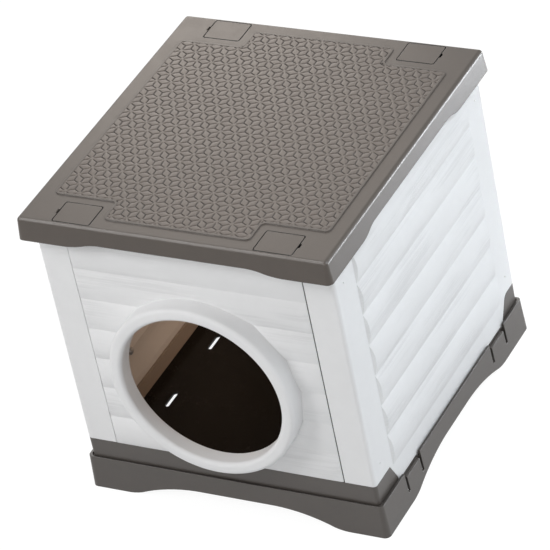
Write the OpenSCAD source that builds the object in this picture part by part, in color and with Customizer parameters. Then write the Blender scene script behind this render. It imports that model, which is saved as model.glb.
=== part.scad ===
// Flat-roofed plastic pet house: four walls on a skirted base, a round doorway and a roof that lifts off.
// It stands on z = 0 with its bounding box centred on x = 0 and y = 0, and its doorway faces -Y.

/* [House] */
// Outer width of the walls, left to right
wall_w = 404; // [340:1:500]
// Outer depth of the walls, front to back
wall_d = 425; // [360:1:520]
// Height of the roof's top face above the ground
house_h = 429.5; // [385:0.5:470]
// Thickness of the moulded plastic
wall_t = 3; // [2.4:0.1:3.4]
// Rounding of the upright corners of the walls
corner_r = 5; // [4.5:0.5:12]

/* [Roof] */
// Overhang of the roof past the side walls
roof_side_over = 8; // [7:0.5:16]
// Overhang of the roof past the front wall
roof_front_over = 20; // [18:0.5:30]
// Overhang of the roof past the back wall
roof_back_over = 9.5; // [9:0.5:20]
// Rounding of the roof's top edges
roof_edge_r = 5; // [4:0.5:6]
// Depth of the lip at the roof's corners
lip_h = 30.5; // [24:0.5:38]
// How far the lip leans out at its lower edge
lip_flare = 2.6; // [0.5:0.1:4]
// How far the lip's lower edge rises between the corners
lip_arch_rise = 7; // [3:0.5:12]
// Length of the deep corner of the lip along the front and back
lip_foot_front = 61; // [40:1:75]
// Length of the deep corner of the lip along the sides
lip_foot_side = 87; // [50:1:100]
// Length of the curve from deep to shallow lip, front and back
lip_run_front = 54; // [30:1:70]
// Length of the curve from deep to shallow lip, sides
lip_run_side = 38; // [25:1:60]
// Share of that curve that its upper arc takes
lip_share = 0.46; // [0.4:0.02:0.8]
// Distance from the roof's sides to the bead round the tread
tread_side_margin = 23; // [16:0.5:35]
// Distance from the roof's front and back to the bead round the tread
tread_end_margin = 21; // [16:0.5:30]
// Width of the notch that leaves room for a cover
tread_notch_w = 88; // [84:1:110]
// Depth of the notch that leaves room for a cover
tread_notch_d = 36; // [30:1:50]
// Width of the raised bead
bead_w = 3; // [2:0.2:6]
// Height of the raised bead
bead_h = 1.2; // [0.6:0.1:2]
// Corner rounding of the bead
bead_r = 7; // [6.5:0.5:12]

/* [Roof covers] */
// Length of a cover, left to right
cover_w = 50.5; // [40:0.5:55]
// Width of a cover, front to back
cover_d = 38.5; // [34:0.5:40]
// Distance from the roof's side to the middle of a cover
cover_side = 73.5; // [66:0.5:85]
// Distance from the roof's front or back to the middle of a cover
cover_end = 25.2; // [24.6:0.1:27]
// Corner rounding of a cover
cover_r = 3; // [1.5:0.5:6]
// Depth of the pocket below a cover, under the roof's plate
pocket_h = 5.5; // [4.5:0.5:6.5]
// Width of a cover's legs
leg_w = 17; // [8:0.5:24]
// Length of the pry notch
pry_w = 8; // [4:0.5:14]
// Reach of the pry notch past the cover
pry_d = 2.2; // [1:0.1:3]

/* [Siding] */
// Drop from the top of the walls to the top of the logs
log_drop = 23.7; // [14:0.1:40]
// How far a log swells past its grooves
log_swell = 4; // [2:0.25:6]
// Number of logs, one above the other
log_count = 7; // [4:1:9]
// Height of the lowest groove above the ground
log_low = 72; // [70:0.5:80]
// Length of the slope at a log's end
log_end = 3; // [1:0.5:6]
// Solid foot left under the hollow of the lowest front and back log
log_foot = 5; // [4:0.5:10]
// Flat border of a side panel in front of the logs
side_border_front = 49; // [42:0.5:70]
// Flat border of a side panel behind the logs
side_border_back = 45; // [42:0.5:70]
// Width of the corner post that shows at the front and back
post_w = 41.5; // [34:0.5:52]
// Open seam between a post and the front or back siding
post_gap = 1.4; // [0.8:0.1:4]
// How far the grooves of the front and back siding lie behind the posts
siding_inset = 1; // [0.5:0.1:1.6]

/* [Doorway] */
// Height of the middle of the doorway
door_z = 204; // [200:1:230]
// Inner radius of the doorway
door_r = 108; // [90:1:112]
// Radial width of the collar round the doorway
collar_w = 17.5; // [14:0.5:20]
// Reach of the collar in front of the posts
collar_reach = 27.5; // [18:0.5:36]
// Rounding of the collar's front edges
collar_edge_r = 6; // [4:0.5:7]
// Depth of the collar's inner return
collar_return = 22; // [12:0.5:26]

/* [Base] */
// Height of the flared skirt
skirt_h = 47.5; // [44:0.5:52]
// Step from the side walls out to the skirt
skirt_step_side = 5; // [4.5:0.1:9]
// Step from the front and back walls out to the skirt
skirt_step_end = 3.2; // [2.5:0.1:8]
// Rounding of the skirt's upright corners, at its top
skirt_r = 5; // [4:0.5:12]
// How far the skirt leans out at the ground
skirt_flare = 2.7; // [1:0.1:5]
// Width of the groove between the skirt and the band
groove_w = 1.8; // [1:0.1:1.8]
// Depth of the groove between the skirt and the band
groove_d = 2.5; // [1:0.1:2.8]
// Height of the arches between the feet
arch_rise = 20.5; // [10:0.5:24]
// Length of a foot along the front and back
foot_front = 52; // [40:1:75]
// Length of a foot along the sides
foot_side = 73; // [45:1:90]
// Length of the curve from foot to arch, front and back
arch_run_front = 108; // [60:1:115]
// Length of the curve from foot to arch, sides
arch_run_side = 115; // [60:1:120]
// Share of that curve that its upper arc takes
arch_share = 0.8; // [0.46:0.02:0.86]
// Height of the band and of the corner upstands
band_z = 75; // [70:0.5:84]
// Length of the corner upstands along the sides, at the front
upstand_front = 40.5; // [30:0.5:48]
// Length of the corner upstands along the sides, at the back
upstand_back = 29; // [24:0.5:40]
// Run of the slope at the end of an upstand
upstand_slope = 15; // [8:0.5:20]
// Share of that slope that the rounded corner of a back upstand takes
upstand_soft = 0.25; // [0.05:0.05:0.4]
// Width of a spring tongue
tongue_w = 36.5; // [26:0.5:42]
// Width of the slits beside a tongue
slit_w = 5; // [3:0.25:6]
// Distance from the front wall to the middle of the front tongue
tongue_front = 85.5; // [80:0.5:110]
// Distance from the back wall to the middle of the back tongue
tongue_back = 77; // [72:0.5:110]
// Drop of a tongue's top below the skirt's top
tongue_drop = 8; // [4:0.5:9]
// Height of the slits' lower ends
slit_z = 18.5; // [17:0.5:24]
// Reach of the catch bead on a tongue
catch_r = 1.2; // [0.6:0.1:1.5]
// Height of the recess in a side panel's lower edge behind a tongue
catch_h = 3; // [2:0.5:5]
// Height of the lower edge of the guard behind a tongue
guard_z = 12; // [8:0.5:16]
// Reach of the guard past the slits
guard_side = 10; // [6:0.5:14]
// Height of the deck that the walls and the floor stand on
deck_z = 39; // [37:0.5:41]
// Width of the deck's ledge under the floor
ledge_w = 12; // [9:0.5:18]
// Height of the inner rim that keeps the walls in line
rim_z = 64; // [56:0.5:66]
// Depth of the ribs under the floor
rib_h = 14; // [8:0.5:16]
// Spacing of the cross ribs
rib_pitch = 112; // [104:1:130]

/* [Floor] */
// Height of the floor's raised middle above its border
floor_step = 3; // [1:0.5:5]
// Width of the floor's low border along the sides
floor_border_side = 43; // [30:0.5:50]
// Width of the floor's low border at the front and back
floor_border_end = 32; // [24:0.5:50]
// Length of a drain slot
slot_l = 29.5; // [16:0.5:34]
// Width of a drain slot
slot_w = 6.75; // [3:0.25:7.5]
// Distance from the raised middle to the middle of a slot
slot_in = 5; // [4:0.25:7]
// Place of the front slots, forward of the middle
slot_front = 81; // [60:1:95]
// Place of the back slots, behind the middle
slot_back = 41; // [20:1:55]
// Corner rounding of the floor
floor_r = 6; // [4:0.5:10]

/* [Fasteners] */
// Radius of a screw's shank
screw_r = 1.8; // [1.5:0.1:2.2]
// Length of a screw below its head
screw_l = 15; // [12:0.5:18]
// Radius of a screw's head
head_r = 4; // [3.2:0.1:4.6]
// Height of a screw's head
head_h = 2.4; // [1.6:0.1:2.8]
// Radius of the bosses that the screws bite into
boss_r = 5; // [4.6:0.1:5.5]
// How far a roof screw's boss is set into its wall
boss_sink = 1; // [0.5:0.1:2]
// Depth of a side panel's bosses
boss_l = 13; // [11:0.5:15]
// Distance of the corner screws from the front and back walls
corner_screw_in = 20.5; // [19:0.5:30]
// Height of the lower corner screws
corner_screw_low = 98; // [90:1:130]
// Drop from the top of the walls to the upper corner screws
corner_screw_drop = 47; // [35:0.1:100]
// Distance of the stud inside a side wall from the front wall
stud_front = 126; // [100:1:180]
// Radius of a stud's head
stud_head = 5.2; // [4:0.1:6]
// Groove that the stud inside a side wall sits at, counted up from the lowest
stud_groove = 1; // [1:1:3]
// Radius of the small marks outside the bosses
mark_r = 1.1; // [0.6:0.1:1.6]

/* [Fits] */
// Clearance between pieces that slide or stand on each other
fit = 0.3; // [0.2:0.05:0.5]
// Gap between a wall's lower edge and the base round it
wall_fit = 0.5; // [0.3:0.05:0.7]
// Gap round a roof cover
cover_fit = 1.1; // [0.3:0.05:1.3]

/* [Hidden] */
$fn = 64;
fine_fn = 128;
taupe = "#746b66";
white = "#e8eaec";
black = "#1c1a18";
steel = "#a9adb0";
eps = 0.01;
// How much more of an arch's rise than of its run the upper arc takes
arc_cross = 0.04;
// How far an arc passes the straight line that it runs into
crown = 0.05;
// How far the shapes that make up one outline pass each other
lap = 2;
far = 1000;

// Wall faces and levels
wall_x = wall_w / 2;
wall_y = wall_d / 2;
roof_plate_z = house_h - wall_t;
pocket_z = roof_plate_z - pocket_h;
wall_top = pocket_z - wall_t - fit;
wall_foot = deck_z + fit;
plate_y = wall_y - wall_t - wall_fit;
plate_back = plate_y - wall_t;
plate_x = wall_x - corner_r;
siding_y = wall_y - siding_inset;
siding_x = wall_x - post_w - post_gap;
log_h = (wall_top - log_drop - log_low) / log_count;
log_r = (pow(log_h / 2, 2) + pow(log_swell, 2)) / (2 * log_swell);

// Roof outline
roof_w = wall_w + 2 * roof_side_over;
roof_d = wall_d + roof_front_over + roof_back_over;
roof_y = (roof_back_over - roof_front_over) / 2;
lip_z = house_h - lip_h;
lip_w = roof_w + 2 * lip_flare;
lip_d = roof_d + 2 * lip_flare;
cover_x = roof_w / 2 - cover_side;
cover_front_y = roof_y - roof_d / 2 + cover_end;
cover_back_y = roof_y + roof_d / 2 - cover_end;

// Base outline
skirt_w = wall_w + 2 * skirt_step_side;
skirt_d = wall_d + 2 * skirt_step_end;
ground_w = skirt_w + 2 * skirt_flare;
ground_d = skirt_d + 2 * skirt_flare;
rim_x = wall_x - wall_t - wall_fit;
rim_y = plate_back - wall_fit;
tongue_front_y = -wall_y + tongue_front;
tongue_back_y = wall_y - tongue_back;

// Floor outline
floor_x = rim_x - wall_t - fit;
floor_y = rim_y - wall_t - fit;
floor_z = deck_z + fit;
middle_x = floor_x - floor_border_side;
middle_y = floor_y - floor_border_end;

// Shift along Y that centres the bounding box, from walls centred on y = 0
frame_y = (max(collar_reach, roof_front_over + lip_flare) - roof_back_over - lip_flare) / 2;

// Fastener places
flange_x = wall_x - wall_t - boss_l - fit;
boss_y = plate_back - boss_r + boss_sink;
corner_screw_y = wall_y - corner_screw_in;
corner_screw_high = wall_top - corner_screw_drop;
stud_z = log_low + stud_groove * log_h;

// Moves a piece from walls centred on y = 0 to its place in the frame
module in_frame() {
    translate([0, frame_y, 0])
        children();
}

// Flat shape: rectangle with round corners
module round_rect(w, d, r) {
    square([w - 2 * r, d], center = true);
    square([w, d - 2 * r], center = true);
    for (x = [-1, 1], y = [-1, 1])
        translate([x * (w / 2 - r), y * (d / 2 - r)])
            circle(r);
}

// Upright box with round corners, standing on z = 0
module round_box(w, d, h, r) {
    linear_extrude(h)
        round_rect(w, d, r);
}

// Sweeps an upright section round a rectangle: its x runs outwards from the middles of the round corners
module sweep_round(w, d, r) {
    x = w / 2 - r;
    y = d / 2 - r;
    for (i = [0 : 3]) {
        across = i % 2 == 0 ? x : y;
        along = i % 2 == 0 ? y : x;
        rotate([0, 0, 90 * i]) {
            translate([across, 0, 0])
                rotate([90, 0, 0])
                    linear_extrude(2 * along, center = true)
                        children();
            translate([across, along, 0])
                rotate_extrude(angle = 90)
                    children();
        }
    }
}

// Flat shape: arched opening between two feet, with an S-curve of two arcs at each end
module arch(length, run, rise, share) {
    half = length / 2;
    high = share * run;
    low = run - high;
    high_rise = (share + arc_cross) * rise;
    low_rise = rise - high_rise;
    high_r = (pow(high, 2) + pow(high_rise, 2)) / (2 * high_rise);
    low_r = (pow(low, 2) + pow(low_rise, 2)) / (2 * low_rise);
    translate([-half + run, -rise])
        square([length - 2 * run, 2 * rise - crown]);
    for (s = [0, 1])
        mirror([s, 0]) {
            intersection() {
                translate([half - run - high / 2, -rise])
                    square([1.5 * high + lap, 3 * rise]);
                translate([half - run, rise - high_r])
                    circle(high_r);
            }
            difference() {
                translate([half - low - lap, -rise])
                    square([low + lap, 2 * rise]);
                translate([half, low_r - crown])
                    circle(low_r);
            }
        }
}

// Arched opening right through the house from z = 0 up, along Y or, turned by 90 degrees, along X
module arch_through(length, run, rise, share, turn) {
    rotate([90, 0, turn])
        linear_extrude(far, center = true)
            arch(length, run, rise, share);
}

// Logs lying along X that swell towards -Y; drawn in by sink and carried back to y = back for their hollow
module logs(length, sink, back) {
    intersection() {
        for (i = [0 : log_count - 1])
            translate([0, log_r - log_swell, (i + 0.5) * log_h])
                rotate([0, 90, 0])
                    cylinder(length, r = log_r - sink, center = true, $fn = fine_fn);
        linear_extrude(log_count * log_h)
            log_field(length / 2 - sink, back);
    }
}

// Flat shape: plan of the logs, with sloping ends
module log_field(half, back) {
    tip = half - log_end;
    polygon([[-half, back], [-half, 0], [-tip, -log_swell], [tip, -log_swell], [half, 0], [half, back]]);
}

// Profile of a side's lower edge, cut to clear the corner upstands by gap
module upstand_profile(gap) {
    front = -wall_y + upstand_front + gap;
    back = wall_y - upstand_back - gap;
    top = band_z + gap;
    front_low = front + upstand_slope;
    back_low = back - upstand_slope;
    polygon([[-far, 0], [front_low, 0], [front_low, skirt_h], [front, top], [-far, top]]);
    soft = upstand_soft * [back_low - back, skirt_h - top];
    round_top = soft_corner([back, top], soft, [norm(soft), 0]);
    polygon(concat([[far, 0], [back_low, 0], [back_low, skirt_h]], round_top, [[far, top]]));
}

// Points of a rounded corner that starts and ends at the offsets before and after
function soft_corner(corner, before, after) =
    [for (t = [0 : 0.25 : 1]) corner + pow(1 - t, 2) * before + pow(t, 2) * after];

// Base
module base() {
    color(taupe)
        in_frame() {
            difference() {
                union() {
                    skirt();
                    base_deck();
                    base_band();
                }
                tongue_cuts();
                band_groove();
            }
            base_catches();
            tongue_guards();
            base_ribs();
        }
}

module skirt() {
    foot = skirt_r + skirt_flare;
    difference() {
        sweep_round(skirt_w, skirt_d, skirt_r)
            polygon([[foot - wall_t, 0], [foot, 0], [skirt_r, skirt_h], [skirt_r - wall_t, skirt_h]]);
        arch_through(ground_w - 2 * foot_front, arch_run_front, arch_rise, arch_share, 0);
        arch_through(ground_d - 2 * foot_side, arch_run_side, arch_rise, arch_share, 90);
    }
}

// Deck that carries the walls and the floor, its inner rim, and the ledge at the skirt's top
module base_deck() {
    channel_y0 = -wall_y + upstand_front + upstand_slope;
    channel_y1 = wall_y - upstand_back - upstand_slope;
    channel_x = skirt_w / 2 - wall_t;
    translate([0, 0, deck_z - wall_t])
        difference() {
            round_box(skirt_w - wall_t, skirt_d - wall_t, wall_t, skirt_r - wall_t / 2);
            translate([0, 0, -eps])
                round_box(2 * (floor_x - ledge_w), 2 * (floor_y - ledge_w), wall_t + 2 * eps, corner_r);
        }
    translate([0, 0, deck_z - eps])
        difference() {
            round_box(2 * rim_x, 2 * rim_y, rim_z - deck_z, corner_r);
            translate([0, 0, -eps])
                round_box(2 * (rim_x - wall_t), 2 * (rim_y - wall_t), rim_z, corner_r - wall_t);
        }
    translate([0, 0, skirt_h - wall_t])
        difference() {
            round_box(skirt_w - wall_t, skirt_d - wall_t, wall_t, skirt_r - wall_t / 2);
            translate([0, 0, -eps])
                round_box(wall_w - 2 * wall_t, wall_d - 2 * wall_t, wall_t + 2 * eps, corner_r - wall_t);
            for (s = [-1, 1])
                translate([s * channel_x, (channel_y0 + channel_y1) / 2, 0])
                    cube([4 * skirt_step_side, channel_y1 - channel_y0, far], center = true);
        }
}

// Band along the front and back that turns the corners as upstands
module base_band() {
    intersection() {
        translate([0, 0, deck_z - eps])
            difference() {
                round_box(wall_w, wall_d, band_z - deck_z + eps, corner_r);
                translate([0, 0, -eps])
                    round_box(wall_w - 2 * wall_t, wall_d - 2 * wall_t, far, corner_r - wall_t);
            }
        rotate([90, 0, 90])
            linear_extrude(far, center = true)
                upstand_profile(0);
    }
}

// Groove in the skirt's top edge, round the band
module band_groove() {
    translate([0, 0, skirt_h - groove_d])
        difference() {
            round_box(wall_w + 2 * groove_w, wall_d + 2 * groove_w, far, corner_r + groove_w);
            translate([0, 0, -eps])
                round_box(wall_w, wall_d, 2 * far, corner_r);
        }
}

// Slits beside the tongues, the drop at their tops, and the open deck behind them
module tongue_cuts() {
    slit_y = (tongue_w + slit_w) / 2;
    reach = skirt_step_side + skirt_flare;
    for (s = [-1, 1], y = [tongue_front_y, tongue_back_y])
        translate([s * (wall_x - fit), y, 0])
            mirror([s < 0 ? 1 : 0, 0, 0]) {
                for (e = [-1, 1])
                    translate([0, e * slit_y - slit_w / 2, slit_z])
                        cube([2 * reach, slit_w, far]);
                translate([0, -tongue_w / 2, skirt_h - tongue_drop])
                    cube([2 * reach, tongue_w, far]);
                translate([0, -tongue_w / 2 - slit_w, slit_z])
                    cube([skirt_step_side + fit - wall_t, tongue_w + 2 * slit_w, far]);
            }
}

// Rounded catch bead inside each tongue's top
module base_catches() {
    for (s = [-1, 1], y = [tongue_front_y, tongue_back_y])
        translate([s * (skirt_w / 2 - wall_t), y, skirt_h - tongue_drop - catch_r])
            rotate([90, 0, 0])
                cylinder(tongue_w, r = catch_r, center = true);
}

// Plates under the deck that close the view through the slits
module tongue_guards() {
    guard_w = tongue_w + 2 * slit_w + 2 * guard_side;
    for (s = [-1, 1], y = [tongue_front_y, tongue_back_y])
        translate([s * (wall_x - wall_t) - wall_t / 2, y - guard_w / 2, guard_z])
            cube([wall_t, guard_w, deck_z - wall_t / 2 - guard_z]);
}

// Ribs that tie the ledge together and carry the floor's raised middle
module base_ribs() {
    for (i = [-1 : 1])
        translate([0, i * rib_pitch, deck_z])
            base_rib(floor_x - ledge_w, middle_x);
    translate([0, 0, deck_z])
        rotate([0, 0, 90])
            base_rib(floor_y - ledge_w, middle_y);
}

// Rib along X, low at its ends and high under the raised middle
module base_rib(ledge_half, middle_half) {
    low_l = 2 * ledge_half + wall_t;
    high_l = 2 * (middle_half - wall_t - wall_fit);
    translate([-low_l / 2, -wall_t / 2, -rib_h])
        cube([low_l, wall_t, rib_h]);
    translate([-high_l / 2, -wall_t / 2, -eps])
        cube([high_l, wall_t, floor_step + eps]);
}

// Floor that drops into the base, with a raised middle and drain slots
module floor_tray() {
    under_x = middle_x - wall_t;
    under_y = middle_y - wall_t;
    color(black)
        in_frame()
            translate([0, 0, floor_z])
                difference() {
                    union() {
                        round_box(2 * floor_x, 2 * floor_y, wall_t, floor_r);
                        round_box(2 * middle_x, 2 * middle_y, wall_t + floor_step, floor_r);
                    }
                    translate([0, 0, -eps])
                        round_box(2 * under_x, 2 * under_y, floor_step, floor_r - wall_t);
                    for (s = [-1, 1], y = [-slot_front, slot_back])
                        translate([s * (middle_x + slot_in), y, -eps])
                            linear_extrude(far)
                                round_rect(slot_w, slot_l, slot_w / 2 - eps);
                }
}

// Side panel for the right: flat border, logs, and posts that turn the corners
module side_panel() {
    field_y0 = -wall_y + side_border_front;
    field_y1 = wall_y - side_border_back;
    length = field_y1 - field_y0;
    difference() {
        union() {
            side_shell();
            translate([wall_x, (field_y0 + field_y1) / 2, log_low])
                rotate([0, 0, 90])
                    logs(length, 0, wall_t / 2);
            side_bosses();
        }
        translate([wall_x, (field_y0 + field_y1) / 2, log_low])
            rotate([0, 0, 90])
                logs(length, wall_t, wall_t + eps);
        rotate([90, 0, 90])
            linear_extrude(far)
                upstand_profile(wall_fit);
        tongue_recesses();
        side_holes();
    }
}

// Recesses in a side panel's lower edge for the tongues' catches
module tongue_recesses() {
    recess_w = tongue_w + 2 * slit_w;
    for (y = [tongue_front_y, tongue_back_y])
        translate([wall_x - 2 * wall_t, y - recess_w / 2, wall_foot - catch_h])
            cube([4 * wall_t, recess_w, 2 * catch_h]);
}

// Plain shell of a side panel: half of a round-cornered tube, cut off past its posts
module side_shell() {
    translate([0, 0, wall_foot])
        intersection() {
            difference() {
                round_box(wall_w, wall_d, wall_top - wall_foot, corner_r);
                translate([0, 0, -eps])
                    round_box(wall_w - 2 * wall_t, wall_d - 2 * wall_t, far, corner_r - wall_t);
            }
            translate([wall_x - post_w, -far / 2, -eps])
                cube([far, far, far]);
        }
}

// Bosses inside a side panel for the corner screws, and one for the stud
module side_bosses() {
    for (p = corner_screw_places())
        translate([wall_x - wall_t + eps, p[0], p[1]])
            rotate([0, -90, 0])
                cylinder(boss_l + eps, r = boss_r);
    translate([wall_x - wall_t / 2, -wall_y + stud_front, stud_z])
        rotate([0, -90, 0])
            cylinder(wall_t / 2 + head_h, r = boss_r);
}

// Blind holes for the screws, and the small marks outside them
module side_holes() {
    for (p = corner_screw_places()) {
        translate([flange_x - wall_t, p[0], p[1]])
            rotate([0, 90, 0])
                cylinder(screw_l + fit, r = screw_r + fit);
        translate([wall_x - mark_r, p[0], p[1]])
            rotate([0, 90, 0])
                cylinder(far, r = mark_r);
    }
    translate([wall_x - wall_t - head_h - eps, -wall_y + stud_front, stud_z])
        rotate([0, 90, 0])
            cylinder(head_h + wall_t / 2, r = screw_r + fit);
}

// Places of the corner screws on a side panel, as y and z
function corner_screw_places() =
    [for (y = [-corner_screw_y, corner_screw_y], z = [corner_screw_low, corner_screw_high]) [y, z]];

module right_panel() {
    color(white)
        in_frame()
            side_panel();
}

module left_panel() {
    color(white)
        in_frame()
            mirror([1, 0, 0])
                side_panel();
}

// Front or back panel without its doorway, seen from the front: plate behind the posts, siding between them
module end_panel() {
    difference() {
        union() {
            translate([-plate_x, -plate_y, wall_foot])
                cube([2 * plate_x, wall_t, wall_top - wall_foot]);
            translate([-siding_x, -siding_y, band_z + wall_fit])
                cube([2 * siding_x, siding_y - plate_y + eps, wall_top - band_z - wall_fit]);
            translate([0, -siding_y, log_low])
                end_logs(0, (siding_y - plate_y) / 2, 0);
            end_flanges();
            end_bosses();
        }
        translate([0, -siding_y, log_low])
            end_logs(wall_t, siding_y - plate_back + eps, log_foot);
        end_holes();
    }
}

// Logs of a front or back panel, trimmed above the base's band
module end_logs(sink, back, foot) {
    intersection() {
        logs(2 * siding_x, sink, back);
        translate([-far / 2, -far / 2, band_z + wall_fit - log_low + foot])
            cube(far);
    }
}

// Flanges inside the corners that the corner screws hold
module end_flanges() {
    depth = corner_screw_in + 2 * boss_r - (wall_y - plate_back);
    for (s = [-1, 1])
        translate([s * (flange_x - wall_t / 2) - wall_t / 2, -plate_back - eps, rim_z + wall_fit])
            cube([wall_t, depth, wall_top - rim_z - wall_fit]);
}

// Bosses inside the top edge for the roof screws
module end_bosses() {
    for (s = [-1, 1])
        translate([s * cover_x, -boss_y, wall_top - screw_l])
            cylinder(screw_l, r = boss_r);
}

// Holes for the roof screws and the corner screws
module end_holes() {
    for (s = [-1, 1]) {
        translate([s * cover_x, -boss_y, wall_top - screw_l + wall_t])
            cylinder(far, r = screw_r + fit);
        for (z = [corner_screw_low, corner_screw_high])
            translate([s * flange_x, -corner_screw_y, z])
                rotate([0, 90, 0])
                    cylinder(4 * wall_t, r = screw_r + fit, center = true);
    }
}

module front_panel() {
    hole_r = door_r + collar_w - wall_t;
    color(white)
        in_frame() {
            difference() {
                end_panel();
                translate([0, -wall_y, door_z])
                    rotate([90, 0, 0])
                        cylinder(wall_d, r = hole_r, center = true, $fn = fine_fn);
            }
            collar();
        }
}

// Rolled collar round the doorway, open at the back
module collar() {
    translate([0, -wall_y - collar_reach, door_z])
        rotate([-90, 0, 0])
            rotate_extrude($fn = fine_fn)
                collar_profile();
}

// Flat shape: section of the collar, x out from the middle and y back from the front edge
module collar_profile() {
    depth = collar_reach + wall_y - plate_back;
    difference() {
        collar_section(door_r, collar_w, depth, collar_edge_r);
        translate([0, wall_t])
            collar_section(door_r + wall_t, collar_w - 2 * wall_t, depth, collar_edge_r - wall_t);
        translate([0, collar_return])
            square([door_r + wall_t + eps, depth]);
    }
}

// Flat shape: block with two round front corners
module collar_section(r0, w, depth, r) {
    translate([r0, r])
        square([w, depth - r]);
    translate([r0 + r, 0])
        square([w - 2 * r, depth]);
    for (x = [r, w - r])
        translate([r0 + x, r])
            circle(r);
}

module back_panel() {
    color(white)
        in_frame()
            rotate([0, 0, 180])
                end_panel();
}

// Roof
module roof() {
    color(taupe)
        in_frame()
            difference() {
                union() {
                    translate([0, roof_y, 0]) {
                        roof_shell();
                        roof_bead();
                    }
                    roof_seats();
                    for_each_cover()
                        pocket_block();
                }
                for_each_cover()
                    pocket_cut();
                for (s = [-1, 1], y = [-boss_y, boss_y])
                    translate([s * cover_x, y, pocket_z - 2 * wall_t])
                        cylinder(4 * wall_t, r = screw_r + fit);
            }
}

module roof_shell() {
    r = roof_edge_r;
    difference() {
        union() {
            sweep_round(roof_w, roof_d, r)
                roof_section();
            translate([r - roof_w / 2, r - roof_d / 2, roof_plate_z])
                cube([roof_w - 2 * r, roof_d - 2 * r, wall_t]);
        }
        translate([0, 0, lip_z])
            arch_through(lip_w - 2 * lip_foot_front, lip_run_front, lip_arch_rise, lip_share, 0);
        translate([0, 0, lip_z])
            arch_through(lip_d - 2 * lip_foot_side, lip_run_side, lip_arch_rise, lip_share, 90);
    }
}

// Flat shape: section of the roof's rounded edge and leaning lip
module roof_section() {
    difference() {
        lip_outline(roof_edge_r, lip_z);
        translate([-eps, 0])
            lip_outline(roof_edge_r - wall_t + eps, lip_z - eps);
    }
}

// Flat shape: quarter round of radius r on a leaning block that ends at height low
module lip_outline(r, low) {
    translate([0, house_h - roof_edge_r])
        intersection() {
            circle(r);
            square(r);
        }
    polygon([[0, low], [r + lip_flare, low], [r, house_h - roof_edge_r], [0, house_h - roof_edge_r]]);
}

// Raised bead round the tread
module roof_bead() {
    translate([0, 0, house_h - eps])
        linear_extrude(bead_h)
            difference() {
                tread_outline(0);
                tread_outline(bead_w);
            }
}

// Flat shape: outline of the tread, notched at the corners and drawn in by inset
module tread_outline(inset) {
    w = roof_w - 2 * tread_side_margin - 2 * inset;
    d = roof_d - 2 * tread_end_margin - 2 * inset;
    r = bead_r - inset;
    inner_r = bead_r + inset;
    round_rect(w, d - 2 * tread_notch_d, r);
    round_rect(w - 2 * tread_notch_w, d, r);
    for (x = [-1, 1], y = [-1, 1])
        translate([x * (w / 2 - tread_notch_w), y * (d / 2 - tread_notch_d)])
            scale([x, y])
                difference() {
                    translate([-lap, -lap])
                        square(inner_r + lap);
                    translate([inner_r, inner_r])
                        circle(inner_r + crown);
                }
}

// Ribs under the roof that rest on the side walls
module roof_seats() {
    length = wall_d - 2 * side_border_front;
    for (s = [-1, 1])
        translate([s * (wall_x - wall_t / 2) - wall_t, -length / 2, wall_top + fit])
            cube([2 * wall_t, length, roof_plate_z - wall_top]);
}

// Repeats a shape at the four covers, with its outer side turned outwards
module for_each_cover() {
    for (s = [-1, 1], y = [cover_front_y, cover_back_y])
        translate([s * cover_x, y, 0])
            mirror([s < 0 ? 1 : 0, 0, 0])
                children();
}

// Walls and floor of the pocket below a cover
module pocket_block() {
    w = cover_w + 2 * cover_fit + 2 * wall_t;
    d = cover_d + 2 * cover_fit + 2 * wall_t;
    translate([0, 0, pocket_z - wall_t])
        round_box(w, d, pocket_h + wall_t + eps, cover_r + wall_t);
}

// Room inside the pocket, with the pry notch at its outer side
module pocket_cut() {
    translate([0, 0, pocket_z])
        round_box(cover_w + 2 * cover_fit, cover_d + 2 * cover_fit, far, cover_r + cover_fit);
    translate([cover_w / 2 - wall_t, -pry_w / 2, roof_plate_z])
        cube([wall_t + cover_fit + pry_d, pry_w, far]);
}

// Cover: plate flush with the roof, on legs that stand in the pocket
module cover(x, y) {
    color(taupe)
        in_frame()
            translate([x, y, 0]) {
                translate([0, 0, roof_plate_z])
                    round_box(cover_w, cover_d, wall_t, cover_r);
                for (s = [-1, 1])
                    translate([-leg_w / 2, s * (cover_d - wall_t) / 2 - wall_t / 2, pocket_z + fit])
                        cube([leg_w, wall_t, pocket_h - fit + eps]);
            }
}

module cover_front_left() {
    cover(-cover_x, cover_front_y);
}

module cover_front_right() {
    cover(cover_x, cover_front_y);
}

module cover_back_left() {
    cover(-cover_x, cover_back_y);
}

module cover_back_right() {
    cover(cover_x, cover_back_y);
}

// Screw pointing down from z = 0, with a domed head of the given radius
module screw(length, head) {
    dome_r = (head * head + head_h * head_h) / (2 * head_h);
    translate([0, 0, -length])
        cylinder(length + eps, r = screw_r);
    intersection() {
        translate([0, 0, head_h - dome_r])
            sphere(dome_r);
        cylinder(head_h, r = head);
    }
}

module roof_screws() {
    color(steel)
        in_frame()
            for (s = [-1, 1], y = [-boss_y, boss_y])
                translate([s * cover_x, y, pocket_z])
                    screw(screw_l, head_r);
}

module corner_screws() {
    color(steel)
        in_frame()
            for (s = [-1, 1], p = corner_screw_places())
                translate([s * (flange_x - wall_t), p[0], p[1]])
                    rotate([0, -s * 90, 0])
                        screw(screw_l, head_r);
}

module wall_studs() {
    color(steel)
        in_frame()
            for (s = [-1, 1])
                translate([s * (wall_x - wall_t - head_h), -wall_y + stud_front, stud_z])
                    rotate([0, -s * 90, 0])
                        screw(head_h + wall_t / 2 - fit, stud_head);
}

base();
floor_tray();
left_panel();
right_panel();
front_panel();
back_panel();
roof();
cover_front_left();
cover_front_right();
cover_back_left();
cover_back_right();
roof_screws();
corner_screws();
wall_studs();
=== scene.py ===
import bpy
import bmesh
import math
from mathutils import Matrix, Vector


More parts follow.
